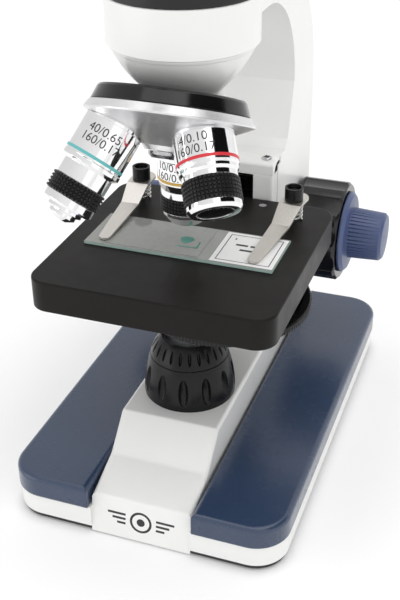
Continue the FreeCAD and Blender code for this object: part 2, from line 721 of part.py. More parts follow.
def build_head():
    low, top = arm_top + 0.1, arm_top + collar_height
    ring = turned("collar", [
        (collar_bore, low), (ring_radius, low), (ring_radius, top - 0.6), (ring_radius - 0.6, top),
        (collar_bore, top),
    ])
    screw_at = (0, 0, arm_top + 5.8)
    screw_turn = FreeCAD.Rotation(V(0, 0, 1), -113).multiply(FreeCAD.Rotation(V(0, 1, 0), 90))
    hole = place(turned("collar_screw_hole", [(0, 15), (1.5, 15), (1.5, 30), (0, 30)]), screw_at, screw_turn)
    node("head_collar", cut("head_collar", ring, hole))
    screw = turned("set_screw", [(0, 20.3), (1.45, 20.3), (1.45, 25.6), (0.8, 25.6), (0.8, 24.4), (0, 24.4)])
    node("head_set_screw", place(screw, screw_at, screw_turn))

    foot = turned("head_foot", [
        (0, arm_top - 6), (19.9, arm_top - 6), (19.9, top + 0.4), (26.4, top + 0.4), (26.4, head_top - 2),
        (24.4, head_top), (0, head_top),
    ], {4: (2, True)})
    corners = [
        (-25.5, head_top - 4), (25.5, head_top - 4), (25.5, head_top + 17), (-1.4, head_top + 43.9),
        (-29.7, head_top + 15.5), (-26.2, head_top + 6),
    ]
    hood = prism("head_hood", "YZ_Plane", corners, -20, 20)

    def hood_edge(edge):
        return edge.BoundBox.XLength > 1 and edge.BoundBox.ZMin > head_top.value + 10

    hood = round_edges(hood, "hood_edges", 2.5, hood_edge)
    bore = rod("head_bore", light_bore, arm_top - 7, head_top + 4)
    room = box("prism_room", (-13.5, 13.5), (-14.5, 14.5), (head_top + 2, head_top + 27))
    tube_bore = tube_place(turned("head_tube_bore", [(0, 0), (12.6, 0), (12.6, 40), (0, 40)]))
    node("head_body", cut("head_body", fuse("head_solid", foot, hood), bore, room, tube_bore))

    floor = head_top + 4
    corners = [(-12, floor), (12, floor), (12, floor + 8), (-1, floor + 21), (-12, floor + 10)]
    node("head_prism", prism("prism_glass", "YZ_Plane", corners, -12, 12))

    node("head_tube", tube_place(turned("eye_tube", [
        (eyepiece_radius + running_fit, 22.2), (tube_radius, 22.2), (tube_radius, 63.4), (tube_radius - 0.6, 64),
        (eyepiece_radius + running_fit, 64),
    ])))

    eyepiece = turned("eyepiece_shell", [
        (9.6, 34), (eyepiece_radius, 34), (eyepiece_radius, 64.1), (14.6, 64.1), (15.2, 65), (15.2, 80), (13.4, 86),
        (9.4, 88), (8.2, 85.5), (8.2, 70), (9.6, 68),
    ])
    node("eyepiece", tube_place(eyepiece))
    lens = turned("eye_lens_glass", [(0, 80), (8.15, 81.2), (8.15, 84), (0, 85.2)])
    node("eye_lens", tube_place(lens))


# ---------------------------------------------------------------- lamp


def build_lamp():
    housing = turned("lamp_shell", [
        (15.0, platform_top), (lamp_radius, platform_top), (16.2, lamp_seam), (13.4, lamp_seam),
        (13.4, lamp_seam - 3), (15.0, lamp_seam - 6),
    ], {1: (52, True)})
    dimples = []
    for index in range(12):
        x, y = polar(18.9, 12 + 30 * index)
        dimple = primitive("Ellipsoid", f"dimple_{index}", Radius1=6.6, Radius2=2.6, Radius3=2.1)
        place(dimple, (x, y, 45.4), FreeCAD.Rotation(V(0, 0, 1), 12 + 30 * index).multiply(
            FreeCAD.Rotation(V(0, 1, 0), -7)))
        dimples.append(dimple)
    node("lamp_housing", cut("lamp_housing", housing, *dimples))

    seam = lamp_seam + 0.25
    ring = turned("lamp_ring_shell", [
        (13.1, seam - 2.6), (13.1, seam), (16.1, seam), (11.4, lamp_top), (9.9, lamp_top - 0.4),
        (9.4, lamp_top - 1.6),
        (9.4, lamp_top - 3.4), (11.4, seam - 2.6),
    ], {2: (24, True)})
    flutes = []
    for index in range(24):
        x, y = polar(14.5, 6 + 15 * index)
        flute = primitive("Ellipsoid", f"flute_{index}", Radius1=3.4, Radius2=1.5, Radius3=0.8)
        place(flute, (x, y, 59.7), FreeCAD.Rotation(V(0, 0, 1), 6 + 15 * index).multiply(
            FreeCAD.Rotation(V(0, 1, 0), -24)))
        flutes.append(flute)
    node("lamp_ring", cut("lamp_ring", ring, *flutes))
    lens_radius, lens_edge, crown = 9.35, 60.4, 1.8
    dome = (lens_radius ** 2 + crown ** 2) / (2 * crown)
    node("field_lens", turned("lamp_lens", [
        (0, lens_edge - 1.8), (lens_radius, lens_edge - 1.8), (lens_radius, lens_edge), (0.6, lens_edge + crown),
        (0, lens_edge + crown),
    ], {2: (dome, True)}))


# ---------------------------------------------------------------- focus drive


def knob_place(obj, side):
    """Stand a knob, drawn with its outer end up, on the focus axis."""
    return place(obj, (0, knob_y, knob_z), FreeCAD.Rotation(V(0, 1, 0), 90 * side))


def rack_tooth(height):
    """One rack tooth in section, its tip towards the pinion, centred on a height."""
    pitch_y = knob_y.value - gear_module.value * gear_teeth.value / 2
    tooth = gear_module.value
    half = math.pi * tooth / 4 - 0.09
    lean = math.tan(math.radians(20))
    root, tip = pitch_y - 1.25 * tooth, pitch_y + 0.95 * tooth
    wide, narrow = half + 1.25 * tooth * lean, half - 0.95 * tooth * lean
    return [
        V(0, root, height - wide), V(0, tip, height - narrow),
        V(0, tip, height + narrow), V(0, root, height + wide),
    ]


def pinion_outline():
    """Involute teeth about the focus axis, one gap facing the rack's middle tooth."""
    teeth = int(gear_teeth.value)
    module = gear_module.value
    pitch = module * teeth / 2
    base = pitch * math.cos(math.radians(20))
    root, tip = pitch - 1.2 * module, pitch + 0.9 * module
    pressure = math.tan(math.radians(20)) - math.radians(20)
    half_tooth = math.pi / (2 * teeth) - 0.09 / pitch
    flank = []
    for step in range(7):
        radius = max(base, root) + (tip - max(base, root)) * step / 6
        unwind = math.sqrt(max((radius / base) ** 2 - 1, 0))
        flank.append((radius, half_tooth + pressure - (unwind - math.atan(unwind))))
    points = []
    for tooth in range(teeth):
        centre = math.pi + (tooth + 0.5) * 2 * math.pi / teeth
        side = [(root, flank[0][1])] + flank
        for radius, angle in side:
            points.append((radius, centre - angle))
        for radius, angle in reversed(side):
            points.append((radius, centre + angle))
    return [V(0, radius * math.cos(angle), radius * math.sin(angle)) for radius, angle in points]


def build_focus():
    for side, name in ((-1, "left"), (1, "right")):
        inner, outer = coarse_inner, coarse_outer
        knob = turned(f"coarse_{name}", [
            (sleeve_radius, inner), (coarse_radius - 1.2, inner), (coarse_radius, inner + 1.2),
            (coarse_radius, outer - 1.2), (coarse_radius - 1.2, outer), (16.4, outer), (16.0, outer - 1.2),
            (sleeve_radius, outer - 1.2),
        ])
        radius = coarse_radius
        knob = ring_of_cuts(knob, f"coarse_flute_{name}", "XY_Plane", [
            (radius - 0.7, -4.5), (radius + 3, -5.5), (radius + 3, 5.5), (radius - 0.7, 4.5),
        ], inner + 2, outer + 1, 10, {3: (26, True)})
        node(f"coarse_knob_{name}", knob_place(knob, side))

        flange = outer + 0.4
        tip = fine_end
        fine = turned(f"fine_{name}", [
            (shaft_radius, flange), (flange_radius, flange), (flange_radius, flange + 0.8),
            (flange_radius - 1.6, flange + 2.2), (fine_radius, flange + 2.8), (fine_radius - 0.7, tip - 1.6),
            (fine_radius - 1.9, tip - 0.4), (0, tip), (0, tip - 4), (shaft_radius, tip - 4),
        ])
        fine = ring_of_cuts(fine, f"fine_rib_{name}", "XY_Plane", [
            (fine_radius - 0.85, 0), (fine_radius + 1, -0.75), (fine_radius + 1, 0.75),
        ], flange + 2.9, tip + 1, 40)
        node(f"fine_knob_{name}", knob_place(fine, side))

    at = (knob_y, knob_z)
    tube = rod("sleeve_tube", sleeve_radius, 1.2 - coarse_outer, coarse_outer - 1.2, at, "X")
    hole = rod("sleeve_bore", shaft_radius + running_fit, -coarse_outer, coarse_outer, at, "X")
    node("focus_sleeve", cut("focus_sleeve", tube, hole))
    shaft_reach = fine_end - 4
    node("fine_shaft", rod("fine_shaft", shaft_radius, -shaft_reach, shaft_reach, at, "X"))

    points = pinion_outline()
    blank = Part.Face(Part.makePolygon(points + points[:1])).extrude(V(9, 0, 0))
    blank.translate(V(-4.5, 0, 0))
    pinion = doc.addObject("Part::Feature", "focus_pinion")
    pinion.Shape = blank.cut(Part.makeCylinder(sleeve_radius.value, 20, V(-10, 0, 0), V(1, 0, 0)))
    node("focus_pinion", place(pinion, (0, knob_y, knob_z)))

    block = box("carriage_block", (-12, 12), (column_front + 0.3, 80), (56, 99))
    channel = box("carriage_channel", (-8.3, 8.3), (column_front - 1, 66), (50, 105))
    node("focus_carriage", cut("focus_carriage", block, channel))

    low, high = 57.0, 95.0
    pitch = math.pi * gear_module.value
    root = rack_tooth(0)[0].y
    rack = Part.makeBox(10, root - 80, high - low, V(-5, 80, low))
    teeth = []
    for index in range(int((low - knob_z.value) / pitch) + 1, int((high - knob_z.value) / pitch)):
        section = rack_tooth(knob_z.value + index * pitch)
        tooth = Part.Face(Part.makePolygon(section + section[:1])).extrude(V(10, 0, 0))
        tooth.translate(V(-5, 0, 0))
        teeth.append(tooth)
    rack_piece = doc.addObject("Part::Feature", "focus_rack")
    rack_piece.Shape = rack.fuse(teeth).removeSplitter()
    node("focus_rack", rack_piece)


# ---------------------------------------------------------------- stage

STAGE_POSTS = [(-40, -36), (40, -36), (-17.4, 41.5), (17.4, 41.5)]
STAGE_SCREWS = [(-17.4, 43.4), (17.4, 43.4)]


def build_stage():
    left, right = -stage_half, stage_half
    plan = [(left, stage_front), (right, stage_front), (right, stage_back), (left, stage_back)]
    slab = prism("stage_slab", "XY_Plane", plan, stage_top - stage_skirt, stage_top)
    slab = round_edges(slab, "stage_corners", 8, upright)
    slab = round_edges(slab, "stage_top_edge", 0.8, lambda edge: at_height(edge, stage_top))
    rim = 3
    under = [
        (left + rim, stage_front + rim), (right - rim, stage_front + rim),
        (right - rim, stage_back - rim), (left + rim, stage_back - rim),
    ]
    hollow_top = stage_top - stage_plate_thick
    hollow = prism("stage_hollow", "XY_Plane", under, stage_top - stage_skirt - 1, hollow_top)
    hollow = round_edges(hollow, "stage_hollow_corners", 5, upright)
    post_foot = stage_top - stage_skirt + 0.1
    posts = [rod(f"stage_post_{i}", 4, post_foot, stage_top - 2, at) for i, at in enumerate(STAGE_POSTS)]
    holes = [rod("stage_aperture", 11, 90, 110)]
    for i, at in enumerate(STAGE_SCREWS):
        holes.append(rod(f"stage_screw_hole_{i}", 1.0, 85, 110, at))
        holes.append(rod(f"stage_screw_sink_{i}", 1.65, stage_top - 1.6, 110, at))
    for side in (-1, 1):
        holes.append(rod(f"clip_hole_{side + 1}", 1.5, 95, 110, (clip_x * side, clip_y)))
    plate = fuse("stage_solid", cut("stage_tray", slab, hollow), *posts)
    node("stage_plate", cut("stage_plate", plate, *holes))

    screws = []
    for i, at in enumerate(STAGE_SCREWS):
        screws.append(rod(f"stage_screw_{i}", 1.0, 87, stage_top - 1, at))
        screws.append(rod(f"stage_screw_head_{i}", 1.6, stage_top - 1.6, stage_top - 0.1, at))
    screws.append(rod("disc_screw", 1.5, disc_bottom - 0.4, bracket_bottom + 4, (disc_offset, 0)))
    screws.append(rod("disc_screw_head", 2.75, disc_bottom - 1.9, disc_bottom - 0.4, (disc_offset, 0)))
    node("stage_screws", fuse("stage_screws", *screws))

    shelf_top = stage_top - stage_skirt
    shelf = box("bracket_shelf", (-21, 21), (-22, 48), (bracket_bottom, shelf_top))
    neck = box("bracket_neck", (-10, 10), (47, 52), (bracket_bottom, shelf_top))
    tongue = box("bracket_tongue", (-8, 8), (49.4, 65.7), (62, 98))
    stud = rod("bracket_stud", 3, disc_top - 1.2, bracket_bottom + 1, (disc_offset, 0))
    holes = [
        rod("bracket_light_hole", 12.4, 80, 100),
        rod("disc_screw_thread", 1.5, 75, 89.3, (disc_offset, 0)),
    ]
    holes += [rod(f"bracket_thread_{i}", 1.0, 87, 95, at) for i, at in enumerate(STAGE_SCREWS)]
    node("stage_bracket", cut("stage_bracket", fuse("bracket_solid", shelf, neck, tongue, stud), *holes))

    mount = turned("condenser_tube", [
        (9.0, bracket_bottom + 0.3), (12.4, bracket_bottom + 0.3), (12.4, shelf_top), (14.0, shelf_top),
        (14.0, shelf_top + 2), (10.8, shelf_top + 2), (10.8, stage_top - 1), (8.4, stage_top - 1),
        (8.4, stage_top - 2.4), (9.0, stage_top - 2.4),
    ])
    node("condenser_mount", mount)
    lens = turned("condenser_glass", [
        (0, 92), (8.95, 93.5), (8.95, stage_top - 2.5), (8.3, stage_top - 2.5), (0, stage_top - 0.9),
    ])
    node("condenser_lens", lens)

    web = disc_top - 1.4
    disc = place(turned("aperture_disc", [
        (1.6, web), (disc_radius - 3.8, web), (disc_radius - 3.2, disc_top), (disc_radius - 0.4, disc_top),
        (disc_radius, disc_top - 0.4), (disc_radius, disc_bottom + 0.4), (disc_radius - 0.4, disc_bottom),
        (1.6, disc_bottom),
    ]), (disc_offset, 0, 0))
    holes = []
    for index, radius in enumerate((8.5, 6.5, 4.5, 3.0, 1.5)):
        x, y = polar(disc_offset.value, 180 + 72 * index)
        holes.append(rod(f"aperture_{index}", radius, 70, 90, (disc_offset + x, y)))
    node("diaphragm_disc", cut("diaphragm_disc", disc, *holes))


CLIP_SWING = {"left": -2.0, "right": 5.5}


def conical_spring(turns, rise, wide, narrow, wire):
    """A wire cone: a round wire swept along a tapering helix that starts at the origin."""
    taper = math.degrees(math.atan2(wide - narrow, rise))
    helix = Part.makeHelix(rise / turns, rise, wide, -taper)
    section = Part.Wire(Part.makeCircle(wire, V(wide, 0, 0), V(0, 1, 0)))
    return Part.Wire(helix.Edges).makePipeShell([section], True, True)


def build_clips():
    caps, screws = [], []
    strip_top = clip_height + clip_sheet
    for side, name in ((-1, "left"), (1, "right")):
        at = (clip_x * side, clip_y)
        cap = rod(f"cap_body_{name}", 3.7, strip_top + 0.1, strip_top + 5.6, at)
        hollow = rod(f"cap_hollow_{name}", 2.9, strip_top + 2.4, strip_top + 7, at)
        bore = rod(f"cap_bore_{name}", 1.5, 100, 120, at)
        caps.append(cut(f"cap_{name}", cap, hollow, bore))
        screws.append(rod(f"clip_screw_shank_{name}", 1.5, stage_top - 3, strip_top + 2.6, at))
        screws.append(rod(f"clip_screw_head_{name}", 2.4, strip_top + 2.4, strip_top + 3.9, at))

        bent = prism(f"strip_bend_{name}", "YZ_Plane", [
            (9.6, clip_height), (9.6, strip_top), (-4.6, strip_top), (-14.2, 107.7), (-43.6, 106.0),
            (-46.5, 106.6), (-46.5, 105.7), (-43.6, 105.1), (-14.4, 106.8), (-4.8, clip_height),
        ], -6, 6)

        def top_bend(edge):
            return all(abs(vertex.Point.y + 4.6) < 0.01 for vertex in edge.Vertexes)

        bent = round_edges(bent, f"strip_bend_edge_{name}", 1.5, top_bend)
        plan = prism(f"strip_plan_{name}", "XY_Plane", [
            (4.9, 3.6), (4.6, -5), (3.8, -14), (2.3, -42), (-2.3, -42), (-3.8, -14), (-4.6, -5), (-4.9, 3.6),
        ], 100, 116, {3: (2.6, False), 7: (4.95, False)})
        hole = rod(f"strip_hole_{name}", 2.4, 100, 120)
        strip = cut(f"strip_{name}", common(f"strip_blank_{name}", bent, plan), hole)
        swing = FreeCAD.Rotation(V(0, 0, 1), -CLIP_SWING[name])
        node(f"clip_{name}", place(strip, (clip_x * side, clip_y, 0), swing))

        spring = doc.addObject("Part::Feature", f"clip_spring_{name}")
        wire = 0.45
        gap = wire + 0.05
        spring.Shape = conical_spring(4, (clip_height - stage_top).value - 2 * gap, 3.4, 2.4, wire)
        node(f"clip_spring_{name}", place(spring, (clip_x * side, clip_y, stage_top + gap)))
    node("clip_caps", fuse("clip_caps", *caps))
    node("clip_screws", fuse("clip_screws", *screws))


def build_specimen():
    low = stage_top + 0.02
    node("specimen_slide", box("specimen_slide", (-38.5, 37.5), (-11.7, 13.9), (low, low + 1.2)))
    node("cover_slip", box("cover_slip", (-30, 8), (-10.6, 12.8), (low + 1.2, low + 1.37)))


build_base()
build_electrics()
build_arm()
build_nosepiece()
build_objectives()
build_head()
build_lamp()
build_focus()
build_stage()
build_clips()
build_specimen()
doc.recompute()

failed = [item.Name for item in doc.Objects if "Invalid" in item.State or "Error" in item.State]
for name, item in nodes.items():
    if item.Shape.isNull() or not item.Shape.isValid() or not item.Shape.Solids:
        failed.append(name)
if failed:
    raise RuntimeError(f"failed: {failed}")

os.makedirs("parts", exist_ok=True)
for name, item in nodes.items():
    item.Shape.exportStep(f"parts/{name}.step")
print(len(nodes), "sub-parts written")
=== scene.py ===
import json
import math

import bmesh
import bpy
from mathutils import Matrix, Vector


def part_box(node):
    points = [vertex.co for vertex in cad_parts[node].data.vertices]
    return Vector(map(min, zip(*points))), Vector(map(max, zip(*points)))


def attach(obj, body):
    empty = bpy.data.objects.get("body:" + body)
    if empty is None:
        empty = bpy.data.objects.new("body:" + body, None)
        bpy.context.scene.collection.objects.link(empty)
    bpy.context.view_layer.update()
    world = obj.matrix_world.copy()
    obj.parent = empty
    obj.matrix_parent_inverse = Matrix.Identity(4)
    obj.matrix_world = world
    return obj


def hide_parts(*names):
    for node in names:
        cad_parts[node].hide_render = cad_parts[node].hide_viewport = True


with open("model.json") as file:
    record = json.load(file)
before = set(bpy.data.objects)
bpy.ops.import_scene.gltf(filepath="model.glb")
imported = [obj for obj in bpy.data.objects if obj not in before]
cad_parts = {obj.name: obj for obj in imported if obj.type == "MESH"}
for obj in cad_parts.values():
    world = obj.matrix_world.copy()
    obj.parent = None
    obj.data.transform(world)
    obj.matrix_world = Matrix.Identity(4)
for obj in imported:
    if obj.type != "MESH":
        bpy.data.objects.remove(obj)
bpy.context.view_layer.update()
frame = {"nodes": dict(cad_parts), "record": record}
NODES = frame["nodes"]
MM = 0.001

# ------------------------------------------------------------------ camera

CAMERA_AT = Vector((0.125906, -0.328374, 0.288399))
YAW, PITCH, ROLL = 0.353, 0.538, 0.013
LENS = 61.38


def make_camera():
    """The camera looks left of +Y and down on the stage, with a slight roll."""
    forward = Vector((-math.sin(YAW) * math.cos(PITCH), math.cos(YAW) * math.cos(PITCH), -math.sin(PITCH)))
    level = Vector((math.cos(YAW), math.sin(YAW), 0))
    down = forward.cross(level)
    right = level * math.cos(ROLL) + down * math.sin(ROLL)
    up = level * math.sin(ROLL) - down * math.cos(ROLL)
    data = bpy.data.cameras.new("camera")
    data.lens = LENS
    data.sensor_width = 36
    data.clip_start = 0.01
    camera = bpy.data.objects.new("camera", data)
    turn = Matrix((right, up, -forward)).transposed().to_4x4()
    camera.matrix_world = Matrix.Translation(CAMERA_AT) @ turn
    bpy.context.scene.collection.objects.link(camera)
    bpy.context.scene.camera = camera


# ------------------------------------------------------------------ materials


class Finish:
    """A Principled material built up by short calls for its colour, roughness and relief."""

    def __init__(self, name, **constants):
        self.material = bpy.data.materials.new(name)
        self.material.use_nodes = True
        self.tree = self.material.node_tree
        self.shader = next(n for n in self.tree.nodes if n.type == "BSDF_PRINCIPLED")
        self.relief = None
        self.coords = self.add("ShaderNodeTexCoord").outputs["Object"]
        for socket, value in constants.items():
            self.shader.inputs[socket.replace("_", " ")].default_value = value

    def add(self, kind, **values):
        """A node, with its inputs set by name or linked where the value is a socket."""
        node = self.tree.nodes.new(kind)
        for name, value in values.items():
            if hasattr(node, name) and name.islower():
                setattr(node, name, value)
                continue
            self.feed(node.inputs[name.replace("_", " ")], value)
        return node

    def feed(self, socket, value):
        if isinstance(value, bpy.types.NodeSocket):
            self.tree.links.new(value, socket)
        else:
            socket.default_value = value

    def stretched(self, scale):
        """Object coordinates scaled unevenly, for a brushed grain."""
        return self.add("ShaderNodeMapping", Vector=self.coords, Scale=scale).outputs["Vector"]

    def noise(self, scale, detail=3.0, vector=None, rough=0.55):
        node = self.add("ShaderNodeTexNoise", Scale=scale, Detail=detail, Roughness=rough)
        self.feed(node.inputs["Vector"], vector or self.coords)
        return node.outputs["Fac"]

    def span(self, value, low, high, start=0.3, end=0.7):
        node = self.add("ShaderNodeMapRange")
        given = {"Value": value, "From Min": start, "From Max": end, "To Min": low, "To Max": high}
        for name, setting in given.items():
            self.feed(node.inputs[name], setting)
        return node.outputs["Result"]

    def blend(self, factor, first, second):
        node = self.add("ShaderNodeMix", data_type="RGBA")
        self.feed(node.inputs[0], factor)
        self.feed(node.inputs[6], first)
        self.feed(node.inputs[7], second)
        return node.outputs[2]

    def maths(self, operation, first, second):
        node = self.add("ShaderNodeMath")
        node.operation = operation
        self.feed(node.inputs[0], first)
        self.feed(node.inputs[1], second)
        return node.outputs[0]

    def soften(self, radius):
        """Small edges catch the light as if slightly rounded."""
        node = self.add("ShaderNodeBevel", Radius=radius)
        node.samples = 6
        self.relief = node.outputs["Normal"]
        return self

    def edges(self):
        """1 along softened edges and 0 on the flat faces between them."""
        node = self.add("ShaderNodeVectorMath")
        node.operation = "DOT_PRODUCT"
        flat = self.add("ShaderNodeNewGeometry").outputs["Normal"]
        self.feed(node.inputs[0], self.relief)
        self.feed(node.inputs[1], flat)
        return self.span(node.outputs["Value"], 1, 0, 0.72, 0.985)

    def bump(self, height, depth, strength=1.0):
        node = self.add("ShaderNodeBump", Height=height, Distance=depth, Strength=strength)
        if self.relief:
            self.feed(node.inputs["Normal"], self.relief)
        self.relief = node.outputs["Normal"]
        return self

    def colour(self, value):
        self.feed(self.shader.inputs["Base Color"], value)
        return self

    def roughness(self, value):
        self.feed(self.shader.inputs["Roughness"], value)
        return self

    def done(self):
        if self.relief:
            self.feed(self.shader.inputs["Normal"], self.relief)
        return self.material


def rgba(red, green, blue):
    return (red, green, blue, 1)


def coated(name, tint, shade, rough, grain, depth, edge=None, soft=0.35 * MM, **constants):
    """Paint or moulded plastic: slow colour drift, fine grain, uneven gloss, and edges painted lighter as
    wear and as a painted highlight.
    """
    skin = Finish(name, **constants)
    if edge:
        skin.soften(soft)
    drift = skin.noise(38, 4)
    body = skin.blend(skin.span(drift, 0, 1), rgba(*tint), rgba(*shade))
    if edge:
        # edges painted lighter in patches: partly wear, partly a painted highlight where edges catch the
        # light
        wear_and_highlight = skin.maths("MULTIPLY", skin.edges(), skin.span(skin.noise(900, 2), 0.2, 0.8))
        body = skin.blend(wear_and_highlight, body, rgba(*edge))
    skin.colour(body)
    skin.roughness(skin.span(skin.noise(160, 5), rough[0], rough[1]))
    skin.bump(skin.noise(grain, 2), depth)
    return skin.done()


def metal(name, tint, shade, rough, brush=None, soft=0.2 * MM, depth=0.004 * MM, **constants):
    """Bare or plated metal: brushed along its long side, or polished with faint handling marks."""
    skin = Finish(name, Metallic=1.0, **constants).soften(soft)
    lines = skin.noise(1, 3, skin.stretched(brush)) if brush else skin.noise(220, 4)
    skin.colour(skin.blend(skin.span(lines, 0, 1), rgba(*tint), rgba(*shade)))
    skin.roughness(skin.span(lines, rough[0], rough[1]))
    skin.bump(lines, depth)
    return skin.done()


def clear_glass(name, tint, rough, **constants):
    skin = Finish(name, IOR=1.52, **constants)
    dust = skin.noise(420, 4)
    dusty = rgba(*(0.9 * part for part in tint))
    skin.colour(skin.blend(skin.span(dust, 0, 1, 0.45, 0.8), rgba(*tint), dusty))
    skin.roughness(skin.span(dust, rough[0], rough[1]))
    return skin.done()


def circuit_board():
    skin = Finish("circuit_board", Coat_Weight=0.4)
    tracks = skin.add("ShaderNodeTexBrick", Scale=260.0, Vector=skin.coords)
    tracks.inputs["Color1"].default_value = rgba(0.02, 0.12, 0.05)
    tracks.inputs["Color2"].default_value = rgba(0.03, 0.17, 0.07)
    tracks.inputs["Mortar"].default_value = rgba(0.35, 0.28, 0.1)
    skin.colour(tracks.outputs["Color"])
    skin.roughness(skin.span(skin.noise(300), 0.35, 0.5))
    skin.bump(tracks.outputs["Fac"], 0.03 * MM)
    return skin.done()


WHITE = coated("white_paint", (0.815, 0.815, 0.80), (0.835, 0.835, 0.82), (0.30, 0.36), 1500, 0.004 * MM,
               Coat_Weight=0.3, Coat_Roughness=0.14)
# the edge colours below paint the edges lighter: partly wear, partly painted highlight
NAVY = coated("navy_gloss", (0.024, 0.044, 0.092), (0.027, 0.048, 0.098), (0.24, 0.29), 1300, 0.003 * MM,
              edge=(0.060, 0.080, 0.13), soft=0.6 * MM, Coat_Weight=0.35, Coat_Roughness=0.22)
BLUE = coated("blue_knob", (0.055, 0.080, 0.180), (0.066, 0.094, 0.205), (0.34, 0.42), 2600, 0.010 * MM,
              edge=(0.22, 0.27, 0.42))
SATIN = coated("satin_black", (0.0085, 0.0078, 0.0070), (0.0115, 0.0105, 0.0095), (0.36, 0.44),
               4200, 0.008 * MM, edge=(0.05, 0.047, 0.045), soft=0.5 * MM, Specular_IOR_Level=0.14)
GLOSS = coated("gloss_black", (0.0045, 0.0045, 0.0045), (0.007, 0.0065, 0.0065), (0.12, 0.2),
               1500, 0.004 * MM, edge=(0.04, 0.04, 0.04), soft=0.5 * MM, Specular_IOR_Level=0.42)
PLASTIC = coated("black_plastic", (0.0050, 0.0052, 0.0058), (0.0075, 0.0078, 0.0085), (0.20, 0.30),
                 3200, 0.010 * MM, edge=(0.045, 0.045, 0.049), Specular_IOR_Level=0.26)
KNURL = coated("black_knurl", (0.0055, 0.0050, 0.0050), (0.009, 0.008, 0.008), (0.30, 0.42), 5200, 0.010 * MM,
               edge=(0.06, 0.057, 0.054), soft=0.12 * MM, Specular_IOR_Level=0.4)
RUBBER = coated("black_rubber", (0.018, 0.018, 0.018), (0.028, 0.027, 0.026), (0.62, 0.8), 3600, 0.03 * MM)
SHEET = coated("black_sheet", (0.011, 0.011, 0.011), (0.016, 0.016, 0.016), (0.40, 0.5), 2600, 0.02 * MM)
TUBE = coated("tube_black", (0.008, 0.008, 0.008), (0.012, 0.012, 0.012), (0.22, 0.32), 3000, 0.008 * MM,
              edge=(0.06, 0.06, 0.06))
INK = coated("engraved_ink", (0.018, 0.018, 0.019), (0.030, 0.030, 0.032), (0.5, 0.6), 4000, 0.004 * MM)
CARD = coated("label_card", (0.80, 0.80, 0.79), (0.86, 0.86, 0.85), (0.6, 0.7), 2800, 0.006 * MM)
TISSUE = coated("stained_tissue", (0.010, 0.17, 0.125), (0.045, 0.32, 0.25), (0.3, 0.4), 2400, 0.010 * MM)
RED_BAND = coated("red_band", (0.60, 0.020, 0.035), (0.68, 0.030, 0.045), (0.3, 0.4), 3000, 0.004 * MM)
TEAL_BAND = coated("teal_band", (0.10, 0.42, 0.43), (0.14, 0.48, 0.49), (0.3, 0.4), 3000, 0.004 * MM)
AMBER_BAND = coated("amber_band", (0.66, 0.40, 0.06), (0.74, 0.46, 0.08), (0.3, 0.4), 3000, 0.004 * MM)
CHROME = metal("chrome", (0.86, 0.86, 0.865), (0.90, 0.90, 0.905), (0.045, 0.08), soft=0.25 * MM)
SATIN_CHROME = metal("satin_chrome", (0.78, 0.78, 0.785), (0.84, 0.84, 0.845), (0.34, 0.42),
                     brush=(900, 900, 900))
STEEL = metal("steel", (0.52, 0.52, 0.53), (0.66, 0.66, 0.67), (0.20, 0.34), brush=(300, 2600, 2600))
STRIP = metal("spring_steel", (0.62, 0.59, 0.555), (0.70, 0.67, 0.63), (0.34, 0.44), brush=(2600, 60, 2600))
WIRE = metal("spring_wire", (0.70, 0.69, 0.67), (0.80, 0.79, 0.77), (0.08, 0.16))
BRASS = metal("brass", (0.60, 0.42, 0.17), (0.72, 0.52, 0.24), (0.18, 0.32), brush=(200, 2400, 2400))
GLASS = clear_glass("glass", (0.93, 0.98, 0.96), (0.01, 0.05), Transmission_Weight=1.0)
# the slide glass gets a grey diffuse share: painted sheen standing in for its reflection of the bright room
SLIDE_PAINTED_SHEEN = clear_glass("slide_glass_painted_sheen", (0.47, 0.485, 0.455), (0.05, 0.10), Transmission_Weight=0.40,
                    Specular_IOR_Level=0.6)
EDGE_GLASS = clear_glass("slide_edge", (0.58, 0.80, 0.73), (0.08, 0.16), Transmission_Weight=0.35)
FROSTED = clear_glass("frosted_glass", (0.55, 0.57, 0.60), (0.35, 0.5), Transmission_Weight=0.4)
BOARD = circuit_board()

BY_SLOT = {
    "white_paint": WHITE, "navy_gloss": NAVY, "blue_knob": BLUE, "black_sheet": SHEET, "black_rubber": RUBBER,
    "steel": STEEL, "brass": BRASS, "spring_steel": STRIP, "satin_black": SATIN, "gloss_black": GLOSS,
    "black_plastic": PLASTIC, "black_knurl": KNURL, "chrome": CHROME, "tube_black": TUBE, "glass": GLASS,
    "frosted_glass": FROSTED, "circuit_board": BOARD,
}
SLOT_OF = {row["node"]: row["material_slot"] for row in frame["record"]["subparts"]}


def dress(obj, material, smooth=True):
    """One material over the whole of a mesh."""
    obj.data.materials.clear()
    obj.data.materials.append(material)
    for face in obj.data.polygons:
        face.material_index = 0
        face.use_smooth = smooth


def dress_nodes():
    """Every CAD node in the finish of its material slot, but for a few that differ."""
    special = {
        "turret": SATIN_CHROME, "clip_spring_left": WIRE, "clip_spring_right": WIRE, "specimen_slide": SLIDE_PAINTED_SHEEN,
        "cover_slip": SLIDE_PAINTED_SHEEN,
    }
    for name, obj in NODES.items():
        dress(obj, special.get(name, BY_SLOT[SLOT_OF[name]]))


# ------------------------------------------------------------------ new pieces


def piece(name, shape, material, body, smooth=False):
    """A new mesh piece that rides on a body, from its (points, faces) in the row frame."""
    points, faces = shape
    mesh = bpy.data.meshes.new(name)
    mesh.from_pydata([tuple(point) for point in points], [], faces)
    mesh.validate()
    obj = bpy.data.objects.new(name, mesh)
    bpy.context.scene.collection.objects.link(obj)
    dress(obj, material, smooth)
    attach(obj, body)
    return obj


def joined(shapes):
    """Several (points, faces) shapes as one."""
    points, faces = [], []
    for more_points, more_faces in shapes:
        start = len(points)
        points += more_points
        faces += [tuple(start + corner for corner in face) for face in more_faces]
    return points, faces


def around(radius, degrees, height, axes=Matrix()):
    """A point at a radius, an angle and a height in the given axes."""
    angle = math.radians(degrees)
    return axes @ Vector((radius * math.cos(angle), radius * math.sin(angle), height))


